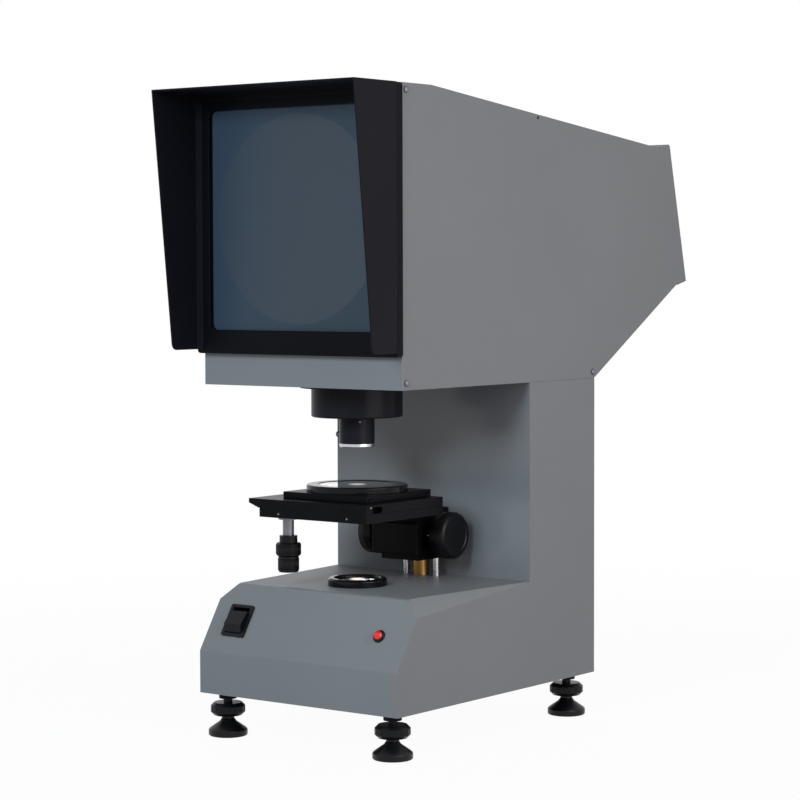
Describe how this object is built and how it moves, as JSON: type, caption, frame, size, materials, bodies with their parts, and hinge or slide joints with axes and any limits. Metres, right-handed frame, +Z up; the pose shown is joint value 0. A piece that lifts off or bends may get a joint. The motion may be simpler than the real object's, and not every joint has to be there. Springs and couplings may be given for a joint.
{
  "type": "optical comparator",
  "caption": "Bench profile projector: hooded square screen on a folded-mirror head, objective over a rack-driven stage, cast base on levelling feet.",
  "frame": {"origin": "on the bench under the centre of the object's box", "axes": "+X to the right seen from the screen, +Y to the back, +Z up"},
  "size_m": [0.2246, 0.529, 0.573],
  "materials": {
    "grey_paint": "satin",
    "black_paint": "fine texture",
    "black_anodised": "satin",
    "steel": "turned",
    "brass": "turned",
    "glass": "polished",
    "ground_glass": "ground",
    "mirror": "polished",
    "black_plastic": "gloss",
    "red_lens": "gloss",
    "ceramic": "matt",
    "transformer": "varnished",
    "black_steel": "blackened"
  },
  "bodies": {
    "frame": {"base_body": "grey_paint", "bottom_plate": "black_paint", "rear_cover": "grey_paint", "power_inlet": "black_plastic", "switch_housing": "black_plastic", "indicator_bezel": "black_plastic", "indicator_lens": "red_lens", "condenser_ring": "black_anodised", "condenser_lens": "glass", "base_mirror": "mirror", "base_mirror_bracket": "black_paint", "collector_holder": "black_anodised", "collector_lenses": "glass", "lamp_bulb": "glass", "lamp_socket": "ceramic", "transformer": "transformer", "guide_rods": "steel", "rack_post": "brass", "head_floor": "grey_paint", "head_top": "grey_paint", "head_side_left": "grey_paint", "head_side_right": "grey_paint", "mirror_cover": "grey_paint", "screen_frame": "black_paint", "screen_glass": "ground_glass", "screen_hood": "black_paint", "lens_mount": "black_anodised", "objective_barrel": "black_anodised", "objective_ring": "steel", "objective_lens": "glass", "projection_cell": "black_anodised", "projection_lens": "glass", "turning_mirror": "mirror", "turning_mirror_bracket": "black_paint", "rear_mirror": "mirror", "rear_mirror_frame": "black_paint", "screws": "steel"},
    "carriage": {"lift_carriage": "black_anodised", "stage_bracket": "black_anodised", "stage_base_plate": "black_anodised", "y_rack": "steel"},
    "focus": {"pinion_shaft": "steel", "focus_knobs": "black_anodised"},
    "y_slide": {"y_slide_plate": "black_anodised", "drive_sleeve": "steel"},
    "x_slide": {"x_slide_plate": "black_anodised", "x_rack": "steel"},
    "disc": {"stage_disc": "black_anodised", "stage_glass": "glass"},
    "upper_knob": {"y_knob": "black_plastic"},
    "lower_knob": {"x_knob": "black_plastic"},
    "rocker": {"switch_rocker": "black_plastic"},
    "pad_front_left": {"foot_pad_front_left": "black_plastic"},
    "wheel_front_left": {"foot_screw_front_left": "black_steel"},
    "pad_front_right": {"foot_pad_front_right": "black_plastic"},
    "wheel_front_right": {"foot_screw_front_right": "black_steel"},
    "pad_rear_left": {"foot_pad_rear_left": "black_plastic"},
    "wheel_rear_left": {"foot_screw_rear_left": "black_steel"},
    "pad_rear_right": {"foot_pad_rear_right": "black_plastic"},
    "wheel_rear_right": {"foot_screw_rear_right": "black_steel"}
  },
  "joints": [
    {"name": "lift", "type": "slide", "parent": "frame", "child": "carriage", "axis": [0, 0, 1], "range_m": [-0.012, 0.012]},
    {"name": "focus_turn", "type": "hinge", "parent": "carriage", "child": "focus", "pos_m": [0, -0.0378, 0.175], "axis": [1, 0, 0], "range_deg": [-86.5, 86.5]},
    {"name": "stage_fore_aft", "type": "slide", "parent": "carriage", "child": "y_slide", "axis": [0, 1, 0], "range_m": [-0.01, 0.01]},
    {"name": "stage_cross", "type": "slide", "parent": "y_slide", "child": "x_slide", "axis": [1, 0, 0], "range_m": [-0.01, 0.01]},
    {"name": "disc_turn", "type": "hinge", "parent": "x_slide", "child": "disc", "pos_m": [0, -0.12, 0.22], "axis": [0, 0, 1], "continuous": true},
    {"name": "upper_knob_turn", "type": "hinge", "parent": "y_slide", "child": "upper_knob", "pos_m": [-0.046, -0.1611, 0.17], "axis": [0, 0, 1], "range_deg": [-97.5, 97.5]},
    {"name": "lower_knob_turn", "type": "hinge", "parent": "y_slide", "child": "lower_knob", "pos_m": [-0.046, -0.1611, 0.17], "axis": [0, 0, 1], "range_deg": [-97.5, 97.5]},
    {"name": "rocker_tip", "type": "hinge", "parent": "frame", "child": "rocker", "pos_m": [-0.08, -0.19042, 0.10371], "axis": [1, 0, 0], "range_deg": [0, 20]},
    {"name": "foot_rise_front_left", "type": "slide", "parent": "frame", "child": "pad_front_left", "axis": [0, 0, 1], "range_m": [-0.009, 0.003]},
    {"name": "wheel_turn_front_left", "type": "hinge", "parent": "pad_front_left", "child": "wheel_front_left", "pos_m": [-0.093, -0.1905, 0.024], "axis": [0, 0, 1], "range_deg": [-2190, 740]},
    {"name": "foot_rise_front_right", "type": "slide", "parent": "frame", "child": "pad_front_right", "axis": [0, 0, 1], "range_m": [-0.009, 0.003]},
    {"name": "wheel_turn_front_right", "type": "hinge", "parent": "pad_front_right", "child": "wheel_front_right", "pos_m": [0.093, -0.1905, 0.024], "axis": [0, 0, 1], "range_deg": [-2190, 740]},
    {"name": "foot_rise_rear_left", "type": "slide", "parent": "frame", "child": "pad_rear_left", "axis": [0, 0, 1], "range_m": [-0.009, 0.003]},
    {"name": "wheel_turn_rear_left", "type": "hinge", "parent": "pad_rear_left", "child": "wheel_rear_left", "pos_m": [-0.093, 0.0775, 0.024], "axis": [0, 0, 1], "range_deg": [-2190, 740]},
    {"name": "foot_rise_rear_right", "type": "slide", "parent": "frame", "child": "pad_rear_right", "axis": [0, 0, 1], "range_m": [-0.009, 0.003]},
    {"name": "wheel_turn_rear_right", "type": "hinge", "parent": "pad_rear_right", "child": "wheel_rear_right", "pos_m": [0.093, 0.0775, 0.024], "axis": [0, 0, 1], "range_deg": [-2190, 740]}
  ],
  "couplings": [
    {"joint": "focus_turn", "follows": "lift", "rad_per_m": -125},
    {"joint": "upper_knob_turn", "follows": "stage_fore_aft", "rad_per_m": -166.67},
    {"joint": "lower_knob_turn", "follows": "stage_cross", "rad_per_m": -166.67},
    {"joint": "wheel_turn_front_left", "follows": "foot_rise_front_left", "rad_per_m": 4188.8},
    {"joint": "wheel_turn_front_right", "follows": "foot_rise_front_right", "rad_per_m": 4188.8},
    {"joint": "wheel_turn_rear_left", "follows": "foot_rise_rear_left", "rad_per_m": 4188.8},
    {"joint": "wheel_turn_rear_right", "follows": "foot_rise_rear_right", "rad_per_m": 4188.8}
  ]
}
